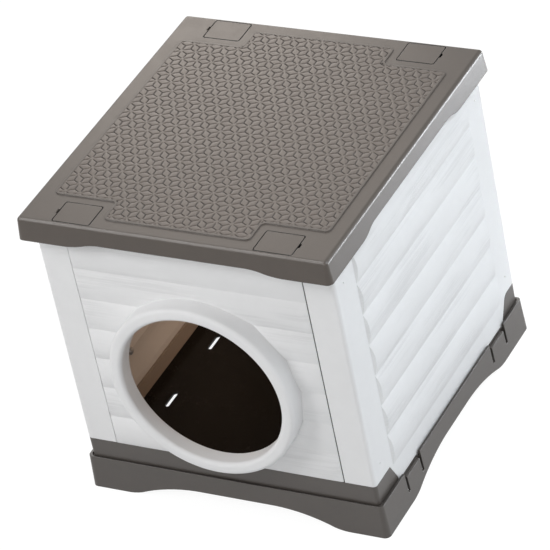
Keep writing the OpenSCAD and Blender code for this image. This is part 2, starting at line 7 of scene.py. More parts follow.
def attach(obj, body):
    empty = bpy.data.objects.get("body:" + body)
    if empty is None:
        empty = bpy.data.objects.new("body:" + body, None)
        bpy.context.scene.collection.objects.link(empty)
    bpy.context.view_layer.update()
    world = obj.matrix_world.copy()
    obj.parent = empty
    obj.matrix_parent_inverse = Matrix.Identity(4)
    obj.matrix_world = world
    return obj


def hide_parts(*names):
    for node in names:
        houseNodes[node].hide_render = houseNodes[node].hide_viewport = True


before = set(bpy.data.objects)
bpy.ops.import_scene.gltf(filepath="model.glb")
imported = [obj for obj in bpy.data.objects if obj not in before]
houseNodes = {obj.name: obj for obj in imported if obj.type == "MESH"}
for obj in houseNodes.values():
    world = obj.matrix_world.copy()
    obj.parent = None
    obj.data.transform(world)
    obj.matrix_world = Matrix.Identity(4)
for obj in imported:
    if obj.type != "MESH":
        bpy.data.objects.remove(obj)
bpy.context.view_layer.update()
print("house loaded:", len(houseNodes), "pieces")


# small helpers for node trees
def addNode(tree, kind, at, **settings):
    node = tree.nodes.new(kind)
    node.location = at
    for name, value in settings.items():
        setattr(node, name, value)
    return node


def feed(tree, source, target):
    tree.links.new(source, target)


def mathNode(tree, at, operation, first, second=None, clamp=False):
    node = addNode(tree, "ShaderNodeMath", at, operation=operation, use_clamp=clamp)
    for slot, value in enumerate((first, second)):
        if value is None:
            continue
        if isinstance(value, (int, float)):
            node.inputs[slot].default_value = value
        else:
            feed(tree, value, node.inputs[slot])
    return node.outputs[0]


def rampNode(tree, at, value, low, high, toLow=0.0, toHigh=1.0):
    node = addNode(tree, "ShaderNodeMapRange", at, interpolation_type="SMOOTHSTEP")
    feed(tree, value, node.inputs["Value"])
    node.inputs["From Min"].default_value = low
    node.inputs["From Max"].default_value = high
    node.inputs["To Min"].default_value = toLow
    node.inputs["To Max"].default_value = toHigh
    return node.outputs["Result"]


def stretchNode(tree, at, vector, scale):
    node = addNode(tree, "ShaderNodeVectorMath", at, operation="MULTIPLY")
    feed(tree, vector, node.inputs[0])
    node.inputs[1].default_value = scale
    return node.outputs[0]


def noiseNode(tree, at, vector, scale, detail=2.0, rough=0.5):
    node = addNode(tree, "ShaderNodeTexNoise", at)
    feed(tree, vector, node.inputs["Vector"])
    node.inputs["Scale"].default_value = scale
    node.inputs["Detail"].default_value = detail
    node.inputs["Roughness"].default_value = rough
    return node.outputs["Fac"]


def newGroup(name, ins, outs):
    group = bpy.data.node_groups.new(name, "ShaderNodeTree")
    for label, kind, value in ins:
        socket = group.interface.new_socket(label, in_out="INPUT", socket_type=kind)
        if value is not None:
            socket.default_value = value
    for label, kind in outs:
        group.interface.new_socket(label, in_out="OUTPUT", socket_type=kind)
    start = addNode(group, "NodeGroupInput", (-900, 0))
    end = addNode(group, "NodeGroupOutput", (700, 0))
    return group, start.outputs, end.inputs


# fine spark-eroded mould texture with broad uneven shine
skinSettings = {
    "broad": 7.0,               # scales of the tone's two noises
    "middle": 60.0,
    "toneFrom": (0.6, 1.4),
    "shineFrom": (0.1, 0.45),
    "shineRange": 0.05,         # change of roughness either way
}


def mouldedSkin(look):
    group, start, end = newGroup(
        "mouldedSkin",
        [("Place", "NodeSocketVector", None), ("Grain", "NodeSocketFloat", 900.0)],
        [("Tone", "NodeSocketFloat"), ("Shine", "NodeSocketFloat"), ("Height", "NodeSocketFloat")],
    )
    fine = addNode(group, "ShaderNodeTexNoise", (-600, 200))
    feed(group, start["Place"], fine.inputs["Vector"])
    feed(group, start["Grain"], fine.inputs["Scale"])
    fine.inputs["Detail"].default_value = 3.0
    broad = noiseNode(group, (-600, -100), start["Place"], look["broad"], 3.0)
    middle = noiseNode(group, (-600, -350), start["Place"], look["middle"], 4.0, 0.65)
    tone = mathNode(group, (-300, -100), "ADD", broad, middle)
    feed(group, rampNode(group, (0, -100), tone, *look["toneFrom"]), end["Tone"])
    shine = mathNode(group, (-300, -350), "MULTIPLY", middle, fine.outputs["Fac"])
    spread = look["shineRange"]
    shine = rampNode(group, (0, -350), shine, *look["shineFrom"], -spread, spread)
    feed(group, shine, end["Shine"])
    feed(group, fine.outputs["Fac"], end["Height"])
    return group


# brushed wood figure: long thin streaks that come and go in patches
streakSettings = {
    "thin": (11, 620, 90),  # scales along a log, up the wall and into it
    "wide": (5, 190, 30),
    "patch": (7, 26, 9),
    "patchFrom": (0.38, 0.66),
    "streakFrom": (0.75, 1.25),
    "darkest": 0.92,        # tone at the middle of a streak
}


def woodFigure(look):
    group, start, end = newGroup(
        "woodFigure",
        [("Along", "NodeSocketVector", None), ("Field", "NodeSocketFloat", 1.0)],
        [("Tone", "NodeSocketFloat"), ("Height", "NodeSocketFloat")],
    )

    def streaks(level, scale, detail, rough):
        stretched = stretchNode(group, (-700, level), start["Along"], scale)
        return noiseNode(group, (-500, level), stretched, 1.0, detail, rough)

    thin = streaks(250, look["thin"], 4.0, 0.6)
    wide = streaks(0, look["wide"], 3.0, 0.55)
    patch = streaks(-250, look["patch"], 2.0, 0.5)
    where = rampNode(group, (-250, -250), patch, *look["patchFrom"])
    streak = mathNode(group, (-250, 150), "ADD", thin, wide)
    streak = rampNode(group, (-50, 150), streak, *look["streakFrom"])
    strength = mathNode(group, (-50, -200), "MULTIPLY", where, start["Field"])
    lines = mathNode(group, (150, 0), "MULTIPLY", streak, strength)
    feed(group, rampNode(group, (350, 100), lines, 0.0, 1.0, 1.0, look["darkest"]), end["Tone"])
    feed(group, mathNode(group, (350, -100), "SUBTRACT", 1.0, lines), end["Height"])
    return group


# soft moulded edges, and a mask of where they are
edgeSettings = {
    "samples": 6,
    "turn": (0.995, 0.85),  # cosine of the rounded normal to the face, off an edge and on it
}


def softEdge(look):
    group, start, end = newGroup(
        "softEdge",
        [("Radius", "NodeSocketFloat", 0.001)],
        [("Edge", "NodeSocketFloat"), ("Normal", "NodeSocketVector")],
    )
    bevel = addNode(group, "ShaderNodeBevel", (-500, 0), samples=look["samples"])
    feed(group, start["Radius"], bevel.inputs["Radius"])
    face = addNode(group, "ShaderNodeNewGeometry", (-500, -250))
    align = addNode(group, "ShaderNodeVectorMath", (-250, -100), operation="DOT_PRODUCT")
    feed(group, bevel.outputs["Normal"], align.inputs[0])
    feed(group, face.outputs["Normal"], align.inputs[1])
    feed(group, rampNode(group, (0, -100), align.outputs["Value"], *look["turn"]), end["Edge"])
    feed(group, bevel.outputs["Normal"], end["Normal"])
    return group


# one band between two values, with soft ends
def bandNode(tree, at, value, low, high, soft):
    up = rampNode(tree, at, value, low - soft, low + soft)
    down = rampNode(tree, (at[0], at[1] - 180), value, high + soft, high - soft)
    return mathNode(tree, (at[0] + 180, at[1]), "MULTIPLY", up, down)


skinGroup = mouldedSkin(skinSettings)
figureGroup = woodFigure(streakSettings)
edgeGroup = softEdge(edgeSettings)
print("surface effects ready:", len(bpy.data.node_groups), "groups")


def startMaterial(name, look):
    material = bpy.data.materials.new(name)
    material.use_nodes = True
    tree = material.node_tree
    tree.nodes.clear()
    shader = addNode(tree, "ShaderNodeBsdfPrincipled", (700, 0))
    shader.inputs["Roughness"].default_value = look["roughness"]
    shader.inputs["Specular IOR Level"].default_value = look["specular"]
    out = addNode(tree, "ShaderNodeOutputMaterial", (1000, 0))
    feed(tree, shader.outputs["BSDF"], out.inputs["Surface"])
    place = addNode(tree, "ShaderNodeTexCoord", (-1100, 0)).outputs["Object"]
    return material, tree, shader, place


def addGroup(tree, group, at, **values):
    node = addNode(tree, "ShaderNodeGroup", at, node_tree=group)
    for label, value in values.items():
        node.inputs[label].default_value = value
    return node


# the moulded skin's uneven shine goes to the shader, its tone to the colour
def addSkin(tree, place, shader, look):
    skin = addGroup(tree, skinGroup, (-800, 200), Grain=look["grain"])
    feed(tree, place, skin.inputs["Place"])
    rough = mathNode(tree, (150, -50), "ADD", skin.outputs["Shine"], look["roughness"])
    feed(tree, rough, shader.inputs["Roughness"])
    spread = look["toneRange"]
    tone = rampNode(tree, (-550, 250), skin.outputs["Tone"], 0.0, 1.0, 1 - spread, 1 + spread)
    return skin, tone


def tintNode(tree, at, colour, tone):
    node = addNode(tree, "ShaderNodeMix", at, data_type="RGBA", blend_type="MULTIPLY")
    node.inputs[0].default_value = 1.0
    grey = addNode(tree, "ShaderNodeCombineColor", (at[0] - 180, at[1] - 120))
    for channel in range(3):
        feed(tree, tone, grey.inputs[channel])
    if isinstance(colour, tuple):
        node.inputs[6].default_value = (*colour, 1.0)
    else:
        feed(tree, colour, node.inputs[6])
    feed(tree, grey.outputs[0], node.inputs[7])
    return node.outputs[2]


def blendNode(tree, at, first, second, factor):
    node = addNode(tree, "ShaderNodeMix", at, data_type="RGBA")
    feed(tree, factor, node.inputs[0])
    for slot, colour in ((6, first), (7, second)):
        if isinstance(colour, tuple):
            node.inputs[slot].default_value = (*colour, 1.0)
        else:
            feed(tree, colour, node.inputs[slot])
    return node.outputs[2]


def bumpNode(tree, at, height, distance, normal=None):
    node = addNode(tree, "ShaderNodeBump", at)
    node.inputs["Strength"].default_value = 1.0
    node.inputs["Distance"].default_value = distance
    feed(tree, height, node.inputs["Height"])
    if normal is not None:
        feed(tree, normal, node.inputs["Normal"])
    return node.outputs["Normal"]


# taupe mouldings: roof, covers, base
taupeLook = {
    "colour": (0.077, 0.067, 0.060),
    "roofTint": (0.97, 0.90, 0.83),  # the roof and its covers look warmer than the base
    "toneRange": 0.05,
    # edges lighten towards this colour: partly wear, partly a painted highlight
    "edgeWearHighlightColour": (0.175, 0.160, 0.150),
    "edgeWearHighlightShare": 0.25,
    "roughness": 0.38,
    "specular": 0.5,
    "edgeRadius": 0.0012,
    "grain": 1100.0,
    "grainDepth": 0.00005,
}


# where painted shade darkens the taupe mouldings, and where the base's inner rim takes a lighter colour
# that stands in for light, in metres
crevices = {
    "pocketMargin": 0.0016,
    "pocketSoft": 0.0005,
    "pocketDrop": 0.0003,
    "pocketShade": 0.92,
    "coverRim": (0.0008, 0.0003),  # painted shade along a cover's gap, outwards and inwards from its side
    "coverSoft": 0.0001,
    "ledge": (0.0470, 0.0480),
    "ledgeSoft": 0.0002,
    "ledgeTilt": (0.6, 0.9),
    "ledgeShade": 0.4,
    "rimX": 0.1992,
    "rimY": (-0.2035, 0.2190),
    "rimZ": (0.0395, 0.0660),
    "rimSoft": (0.0004, 0.0003),
    # lighter warm tan painted on the base's inner rim, standing in for warm light
    "rimLitColour": (0.42, 0.35, 0.29),
}


def pieceBox(name):
    spots = [v.co for v in houseNodes[name].data.vertices]
    return [(min(spot[axis] for spot in spots), max(spot[axis] for spot in spots)) for axis in range(3)]


# painted shade in and along the gaps round the covers, alike on the left and right
def pocketShadeMask(tree, axes):
    across = mathNode(tree, (-1000, 900), "ABSOLUTE", axes["X"])
    rimOut, rimIn = crevices["coverRim"]
    soft, rimSoft = crevices["pocketSoft"], crevices["coverSoft"]
    total = None

    def inBox(at, box, grow, soft):
        inX = bandNode(tree, at, across, box[0][0] - grow, box[0][1] + grow, soft)
        inY = bandNode(tree, (at[0], at[1] + 400), axes["Y"], box[1][0] - grow, box[1][1] + grow, soft)
        return mathNode(tree, (at[0] + 350, at[1]), "MULTIPLY", inX, inY)

    for row, name in enumerate(("cover_front_right", "cover_back_right")):
        box = pieceBox(name)
        drop = box[2][1] - crevices["pocketDrop"]
        low = rampNode(tree, (-350, 600), axes["Z"], drop, drop - crevices["pocketDrop"])
        pocket = inBox((-700, 900 + 2400 * row), box, crevices["pocketMargin"], soft)
        deep = mathNode(tree, (0, 900), "MULTIPLY", pocket, low)
        outer = inBox((-700, 1700 + 2400 * row), box, rimOut, rimSoft)
        inner = inBox((-700, 2500 + 2400 * row), box, -rimIn, rimSoft)
        edge = mathNode(tree, (0, 1700 + 2400 * row), "SUBTRACT", outer, inner, clamp=True)
        mask = mathNode(tree, (200, 1300 + 2400 * row), "MAXIMUM", deep, edge)
        total = mask if total is None else mathNode(tree, (350, 1300), "MAXIMUM", total, mask)
    return mathNode(tree, (500, 900), "MULTIPLY", total, crevices["pocketShade"])


# painted shade on the top of the skirt, close under the walls
def ledgeShadeMask(tree, axes):
    level = bandNode(tree, (-700, 900), axes["Z"], *crevices["ledge"], crevices["ledgeSoft"])
    face = addNode(tree, "ShaderNodeNewGeometry", (-900, 1200))
    tilt = addNode(tree, "ShaderNodeSeparateXYZ", (-700, 1200))
    feed(tree, face.outputs["True Normal"], tilt.inputs[0])
    up = rampNode(tree, (-500, 1200), tilt.outputs["Z"], *crevices["ledgeTilt"])
    mask = mathNode(tree, (-200, 1000), "MULTIPLY", level, up)
    return mathNode(tree, (0, 1000), "MULTIPLY", mask, crevices["ledgeShade"])


# painted shade in the grooves between the tread pads
def grooveShadeMask(tree, axes):
    plate = padSettings["plate"]
    deep = rampNode(tree, (-700, 900), axes["Z"], plate + padSettings["shadeTop"], plate)
    return mathNode(tree, (-400, 900), "MULTIPLY", deep, padSettings["shade"])


# painted light: the base's inner rim takes a lighter warm tan, standing in for the warm light on the
# strip at the foot of the walls
def rimLightMask(tree, axes):
    soft, levelSoft = crevices["rimSoft"]
    across = mathNode(tree, (-900, 2100), "ABSOLUTE", axes["X"])
    across = rampNode(tree, (-700, 2100), across, crevices["rimX"], crevices["rimX"] - soft)
    along = bandNode(tree, (-700, 2400), axes["Y"], *crevices["rimY"], soft)
    level = bandNode(tree, (-700, 2700), axes["Z"], *crevices["rimZ"], levelSoft)
    plan = mathNode(tree, (-400, 2300), "MULTIPLY", across, along)
    return mathNode(tree, (-200, 2300), "MULTIPLY", plan, level)


def taupePlastic(name, look, darkMask=None, rim=False, lift=(1, 1, 1)):
    material, tree, shader, place = startMaterial(name, look)
    skin, tone = addSkin(tree, place, shader, look)
    edge = addGroup(tree, edgeGroup, (-800, -200), Radius=look["edgeRadius"])
    split = addNode(tree, "ShaderNodeSeparateXYZ", (-1000, 600))
    feed(tree, place, split.inputs[0])
    axes = split.outputs
    colour = tintNode(tree, (-350, 250), tuple(a * b for a, b in zip(look["colour"], lift)), tone)
    # edges lighten here: partly wear, partly a painted highlight
    edgeWearAndHighlight = mathNode(tree, (-350, 0), "MULTIPLY", edge.outputs["Edge"], look["edgeWearHighlightShare"])
    colour = blendNode(tree, (-100, 200), colour, look["edgeWearHighlightColour"], edgeWearAndHighlight)
    # painted shade: the mask darkens the colour in the cover gaps, the tread grooves or on the skirt's
    # ledge
    if darkMask:
        shade = mathNode(tree, (50, 600), "SUBTRACT", 1.0, darkMask(tree, axes))
        colour = tintNode(tree, (150, 350), colour, shade)
    # painted light: the base's inner rim takes a lighter warm tan
    if rim:
        colour = blendNode(tree, (350, 350), colour, crevices["rimLitColour"], rimLightMask(tree, axes))
    feed(tree, colour, shader.inputs["Base Color"])
    grain = skin.outputs["Height"]
    normal = bumpNode(tree, (150, -300), grain, look["grainDepth"], edge.outputs["Normal"])
    feed(tree, normal, shader.inputs["Normal"])
    return material


# white walls with log siding
wallLook = {
    "colour": (0.84, 0.84, 0.843),
    # inner faces: a warmer, darker white, painted shade and warm light inside the house
    "insideWarmShadeColour": (0.80, 0.77, 0.73),
    "toneRange": 0.012,
    "roughness": 0.5,
    "specular": 0.35,
    "edgeRadius": 0.0010,
    "grain": 900.0,
    "grainDepth": 0.00003,
    "figureDepth": 0.00020,
    "logRows": (0.072, 0.394),       # where the logs are: up the wall, and along each kind of wall
    "sideField": (-0.1558, 0.1752),
    "frontField": (-0.1591, 0.1591),
    "fieldSoft": (0.004, 0.003),
    "door": (0.204, 0.1258),         # height of the doorway's middle, and the collar's radius
    "doorSoft": 0.002,
    "insideFrom": -0.1995,
    "insideTurn": -0.01,
    "seamFrom": 0.1585,              # painted shade in the open seam beside the right post of the front wall
    "seamBefore": -0.2003,
    "seamSoft": 0.0002,
    "seamShade": 0.85,
}


# painted shade inside the open seam between the front siding and the right post
def seamShadeTone(tree, axes, look):
    soft = look["seamSoft"]
    end = rampNode(tree, (-700, 2000), axes["X"], look["seamFrom"] - soft, look["seamFrom"] + soft)
    outer = mathNode(tree, (-500, 2200), "LESS_THAN", axes["Y"], look["seamBefore"])
    mask = mathNode(tree, (-300, 2100), "MULTIPLY", end, outer)
    mask = mathNode(tree, (-100, 2100), "MULTIPLY", mask, look["seamShade"])
    return mathNode(tree, (100, 2100), "SUBTRACT", 1.0, mask)


# alongAxis is the way the logs run: "X" on the front and back walls, "Y" on the sides
def wallPlastic(name, look, alongAxis, field, door=False):
    material, tree, shader, place = startMaterial(name, look)
    axes = addNode(tree, "ShaderNodeSeparateXYZ", (-900, 500))
    feed(tree, place, axes.inputs[0])
    across = "Y" if alongAxis == "X" else "X"
    along = addNode(tree, "ShaderNodeCombineXYZ", (-700, 500))
    for slot, axis in enumerate((alongAxis, "Z", across)):
        feed(tree, axes.outputs[axis], along.inputs[slot])
    rowSoft, endSoft = look["fieldSoft"]
    field = bandNode(tree, (-700, 800), axes.outputs[alongAxis], *field, endSoft)
    rows = bandNode(tree, (-700, 1200), axes.outputs["Z"], *look["logRows"], rowSoft)
    field = mathNode(tree, (-300, 900), "MULTIPLY", field, rows)
    if door:  # the collar round the doorway is smooth
        middle, radius = look["door"]
        rise = mathNode(tree, (-700, 1500), "SUBTRACT", axes.outputs["Z"], middle)
        ring = mathNode(tree, (-500, 1500), "POWER", rise, 2.0)
        side = mathNode(tree, (-500, 1650), "POWER", axes.outputs["X"], 2.0)
        ring = mathNode(tree, (-300, 1500), "SQRT", mathNode(tree, (-400, 1600), "ADD", ring, side))
        clear = rampNode(tree, (-100, 1500), ring, radius, radius + look["doorSoft"])
        field = mathNode(tree, (-100, 1000), "MULTIPLY", field, clear)
    figure = addGroup(tree, figureGroup, (-300, 600))
    feed(tree, along.outputs[0], figure.inputs["Along"])
    feed(tree, field, figure.inputs["Field"])
    skin, tone = addSkin(tree, place, shader, look)
    edge = addGroup(tree, edgeGroup, (-800, -200), Radius=look["edgeRadius"])
    # faces that look towards the middle of the house are painted a warmer, darker white: painted shade
    # and warm light inside the house
    face = addNode(tree, "ShaderNodeNewGeometry", (-900, -500))
    flat = stretchNode(tree, (-700, -400), place, (1, 1, 0))
    facing = addNode(tree, "ShaderNodeVectorMath", (-500, -450), operation="DOT_PRODUCT")
    feed(tree, flat, facing.inputs[0])
    feed(tree, face.outputs["True Normal"], facing.inputs[1])
    inside = mathNode(tree, (-300, -450), "LESS_THAN", facing.outputs["Value"], look["insideTurn"])
    behind = mathNode(tree, (-300, -600), "GREATER_THAN", axes.outputs["Y"], look["insideFrom"])
    inside = mathNode(tree, (-100, -500), "MULTIPLY", inside, behind)
    colour = blendNode(tree, (-100, 300), look["colour"], look["insideWarmShadeColour"], inside)
    colour = tintNode(tree, (150, 300), colour, figure.outputs["Tone"])
    colour = tintNode(tree, (400, 300), colour, tone)
    # painted shade in the open seam by the right post
    if door:
        colour = tintNode(tree, (550, 300), colour, seamShadeTone(tree, axes.outputs, look))
    feed(tree, colour, shader.inputs["Base Color"])
    grain = skin.outputs["Height"]
    normal = bumpNode(tree, (150, -300), grain, look["grainDepth"], edge.outputs["Normal"])
    normal = bumpNode(tree, (400, -300), figure.outputs["Height"], look["figureDepth"], normal)
    feed(tree, normal, shader.inputs["Normal"])
    return material


# black floor
floorLook = {
    "colour": (0.006, 0.005, 0.004),
    "toneRange": 0.1,
    "roughness": 0.24,
    "specular": 0.25,
    "edgeRadius": 0.001,
    "grain": 700.0,
    "grainDepth": 0.00002,
}


def blackPlastic(name, look):
    material, tree, shader, place = startMaterial(name, look)
    skin, tone = addSkin(tree, place, shader, look)
    edge = addGroup(tree, edgeGroup, (-800, -200), Radius=look["edgeRadius"])
    feed(tree, tintNode(tree, (-100, 250), look["colour"], tone), shader.inputs["Base Color"])
    grain = skin.outputs["Height"]
    normal = bumpNode(tree, (150, -300), grain, look["grainDepth"], edge.outputs["Normal"])
    feed(tree, normal, shader.inputs["Normal"])
    return material


# zinc-plated screws and studs
zincLook = {
    "colour": (0.56, 0.57, 0.58),
    "metal": 0.6,
    "toneRange": 0.08,
    "roughness": 0.32,
    "specular": 0.5,
    "grain": 1500.0,
    "grainDepth": 0.00003,
}


def zincSteel(name, look):
    material, tree, shader, place = startMaterial(name, look)
    shader.inputs["Metallic"].default_value = look["metal"]
    skin, tone = addSkin(tree, place, shader, look)
    feed(tree, tintNode(tree, (-100, 250), look["colour"], tone), shader.inputs["Base Color"])
    normal = bumpNode(tree, (150, -300), skin.outputs["Height"], look["grainDepth"])
    feed(tree, normal, shader.inputs["Normal"])
    return material


# tread pads on the roof: petals between the points of a triangular grid
padSettings = {
    "pitch": 0.02075,
    "row": 0.01725,
    "start": (-0.0399, 0.0286),
    "plate": 0.4295,
    "crown": 0.00115,
    "crownCurve": 0.8,
    "saddle": 0.00110,
    "sink": 0.00005,
    "shoulder": 0.90,             # heights of a pad's cross section, as shares of its crest
    "haunch": 0.98,
    "grooveHalf": 0.00110,
    "grooveMost": 0.6,            # widest groove, as a share of the pad there
    "grooveStart": (0.12, 0.40),  # shares of a pad's half length over which its grooves come in
    "steps": (0.0, 0.035, 0.07, 0.12, 0.2, 0.33, 0.5, 0.67, 0.8, 0.88, 0.93, 0.965, 1.0),
    "middle": 0.00245,
    "wide": (0.1855, 0.16875),    # half sizes of the tread's broad part
    "tab": (0.0975, 0.20475),     # half sizes of its front and back tabs
    "cornerCut": 0.0023,
    "cornerReach": 0.03,
    "weld": 2e-6,
    "bury": 0.0003,               # how far the pads' closed underside lies below the plate's top
    "shadeTop": 0.0007,           # painted shade darkens the grooves below this height
    "shade": 0.8,
    "lift": (1.40, 1.30, 1.22),   # pads a little lighter and warmer than the plate round them
    "crisp": 0.45,                # edges that turn more than this, in radians, stay sharp
}


def smooth(low, high, value):
    share = min(1.0, max(0.0, (value - low) / (high - low)))
    return share * share * (3 - 2 * share)


def padMesh(look):
    pitch, row = look["pitch"], look["row"]
    reachX, reachY = look["wide"][0] + pitch, look["tab"][1] + row

    def point(i, j):
        return Vector((look["start"][0] + pitch * (i + 0.5 * (j % 2)), look["start"][1] + row * j))

    def nextRow(i, j, side):  # neighbour in row j + 1, on the left or right
        return (i + (j % 2) + (0 if side > 0 else -1), j + 1)

    def backRow(i, j, side):
        return (i + (j % 2) + (0 if side > 0 else -1), j - 1)

    def centroid(a, b, c):
        return (a + b + c) / 3

    verts, faces = [], []

    def addPad(first, second, left, right):
        base = len(verts)
        for t in look["steps"]:
            centre = first.lerp(second, t)
            near = 1 - abs(2 * t - 1)
            rims = []
            for corner in (left, right):
                rims.append(first.lerp(corner, 2 * t) if t <= 0.5 else corner.lerp(second, 2 * t - 1))
            fade = smooth(*look["grooveStart"], near)
            swell = math.sin(math.pi * t) ** look["crownCurve"]
            body = look["saddle"] + (look["crown"] - look["saddle"]) * swell
            groove = look["saddle"] + (-look["sink"] - look["saddle"]) * fade
            shoulder = 1 + (look["shoulder"] - 1) * fade
            haunch = 1 + (look["haunch"] - 1) * fade
            for side, rim in ((-1, rims[1]), (1, rims[0])):
                width = max((rim - centre).length, 1e-6)
                share = 1 - min(look["grooveMost"], look["grooveHalf"] / width)
                lines = ((1.0, groove), (share, body * shoulder), (share * 0.5, body * haunch))
                for v, z in lines if side < 0 else reversed(lines):
                    spot = centre.lerp(rim, v)
                    verts.append((spot.x, spot.y, look["plate"] + z))
                if side < 0:
                    verts.append((centre.x, centre.y, look["plate"] + body))
        across = 7  # points in a cross section
        for r in range(len(look["steps"]) - 1):
            for c in range(across - 1):
                a = base + r * across + c
                faces.append((a, a + 1, a + across + 1, a + across))

    rows = int(reachY / row) + 4
    columns = int(reachX / pitch) + 4
    for j in range(-rows, rows + 1):
        for i in range(-columns, columns + 1):
            here = point(i, j)
            if abs(here.x) > reachX + pitch or abs(here.y - look["middle"]) > reachY + row:
                continue
            east, west = point(i + 1, j), point(i - 1, j)
            upLeft, upRight = point(*nextRow(i, j, -1)), point(*nextRow(i, j, 1))
            downRight = point(*backRow(i, j, 1))
            addPad(here, east, centroid(here, east, upRight), centroid(here, east, downRight))
            addPad(here, upRight, centroid(here, upLeft, upRight), centroid(here, east, upRight))
            addPad(here, upLeft, centroid(here, upLeft, west), centroid(here, upLeft, upRight))
    return verts, faces


def cutPads(mesh, look):
    work = bmesh.new()
    work.from_mesh(mesh)
    bmesh.ops.remove_doubles(work, verts=work.verts, dist=look["weld"])
    middle = Vector((0, look["middle"], 0))
    wide, tab = look["wide"], look["tab"]

    def trim(place, out, geometry=None, clear=True):
        parts = geometry or list(work.verts) + list(work.edges) + list(work.faces)
        bmesh.ops.bisect_plane(
            work, geom=parts, dist=1e-7, plane_co=middle + place, plane_no=out, clear_outer=clear
        )

    for s in (-1, 1):
        trim(Vector((s * wide[0], 0, 0)), Vector((s, 0, 0)))
        trim(Vector((0, s * tab[1], 0)), Vector((0, s, 0)))
        trim(Vector((s * tab[0], 0, 0)), Vector((s, 0, 0)), clear=False)
        trim(Vector((0, s * wide[1], 0)), Vector((0, s, 0)), clear=False)
    spare = [
        f for f in work.faces
        if abs(f.calc_center_median().x) > tab[0] and abs(f.calc_center_median().y - middle.y) > wide[1]
    ]
    bmesh.ops.delete(work, geom=spare, context="FACES")
    # the bead turns its corners on an arc, so the pads lose their sharp tips
    for sx in (-1, 1):
        for sy in (-1, 1):
            out = Vector((sx, sy, 0)).normalized()
            for half, low in ((wide, 0.0), (tab, wide[1])):
                tip = Vector((sx * half[0], sy * half[1], 0)) - out * look["cornerCut"]
                near = [
                    f for f in work.faces
                    if (f.calc_center_median() - middle - tip).xy.length < look["cornerReach"]
                    and abs(f.calc_center_median().y - middle.y) > low
                ]
                parts = set(near)
                for f in near:
                    parts.update(f.verts)
                    parts.update(f.edges)
                trim(tip, out, list(parts))
    # a wall down into the plate and an underside close the sheet
    border = [e for e in work.edges if len(e.link_faces) == 1]
    wall = bmesh.ops.extrude_edge_only(work, edges=border)["geom"]
    foot = {v for v in wall if isinstance(v, bmesh.types.BMVert)}
    for v in foot:
        v.co.z = look["plate"] - look["bury"]
    loop = [e for e in work.edges if e.verts[0] in foot and e.verts[1] in foot]
    bmesh.ops.triangle_fill(work, use_beauty=True, edges=loop)
    for f in work.faces:
        f.smooth = True
    for e in work.edges:
        e.smooth = len(e.link_faces) != 2 or e.calc_face_angle() < look["crisp"]
    bmesh.ops.recalc_face_normals(work, faces=work.faces)
    if sum(f.normal.z for f in work.faces) < 0:
        bmesh.ops.reverse_faces(work, faces=work.faces)
    work.to_mesh(mesh)
    work.free()


def treadPads(look, material):
    mesh = bpy.data.meshes.new("treadPads")
    verts, faces = padMesh(look)
    mesh.from_pydata(verts, [], faces)
    cutPads(mesh, look)
    mesh.materials.append(material)
    pads = bpy.data.objects.new("treadPads", mesh)
    bpy.context.scene.collection.objects.link(pads)
    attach(pads, "lid")
    return pads


# front wall: the logs run out gently on the right and nearly close the seam on the left
sidingSettings = {
    "end": 0.1591,          # half length of the logs
    "face": -0.2038,        # the wall's flat face between the logs
    "solidRun": 0.003,      # length and rise of the solid's end slope
    "solidRise": 0.004,
    "rightRun": 0.011,      # length of the right end's slope here
    "leftReach": 0.0012,    # how far the left end reaches into its seam
    "slack": 0.0001,
    "weld": 1e-6,
    "crisp": 0.5,           # edges that turn more than this, in radians, stay sharp
}


def frontSiding(look, material):
    work = bmesh.new()
    work.from_mesh(houseNodes["front_panel"].data)
    bmesh.ops.remove_doubles(work, verts=work.verts, dist=look["weld"])
    steep = look["solidRise"] / look["solidRun"]
    for v in work.verts:
        back = look["end"] - abs(v.co.x)
        offSlope = abs(v.co.y - (look["face"] - back * steep))
        onSlope = offSlope < 2 * look["slack"] and 0 < back < look["solidRun"] + look["slack"]
        if onSlope and v.co.x > 0:
            v.co.x = look["end"] - back * look["rightRun"] / look["solidRun"]
        elif v.co.x < 0 and (onSlope or abs(back) < look["slack"]):
            v.co.x -= look["leftReach"]
    bmesh.ops.recalc_face_normals(work, faces=work.faces)
    for f in work.faces:
        f.smooth = True
    for e in work.edges:
        e.smooth = len(e.link_faces) != 2 or e.calc_face_angle() < look["crisp"]
    mesh = bpy.data.meshes.new("frontSiding")
    work.to_mesh(mesh)
    work.free()
    if "custom_normal" in mesh.attributes:
        mesh.attributes.remove(mesh.attributes["custom_normal"])
    mesh.materials.clear()
    mesh.materials.append(material)
    siding = bpy.data.objects.new("frontSiding", mesh)
    bpy.context.scene.collection.objects.link(siding)
    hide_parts("front_panel")
    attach(siding, "house")
    return siding


# materials onto the pieces
roofTaupe = taupePlastic("roofTaupe", taupeLook, pocketShadeMask, lift=taupeLook["roofTint"])
baseTaupe = taupePlastic("baseTaupe", taupeLook, ledgeShadeMask, rim=True)
treadTaupe = taupePlastic("treadTaupe", taupeLook, grooveShadeMask, lift=padSettings["lift"])
sideWhite = wallPlastic("sideWhite", wallLook, "Y", wallLook["sideField"])
frontWhite = wallPlastic("frontWhite", wallLook, "X", wallLook["frontField"], door=True)
backWhite = wallPlastic("backWhite", wallLook, "X", wallLook["frontField"])
floorBlack = blackPlastic("floorBlack", floorLook)
zinc = zincSteel("zincSteel", zincLook)

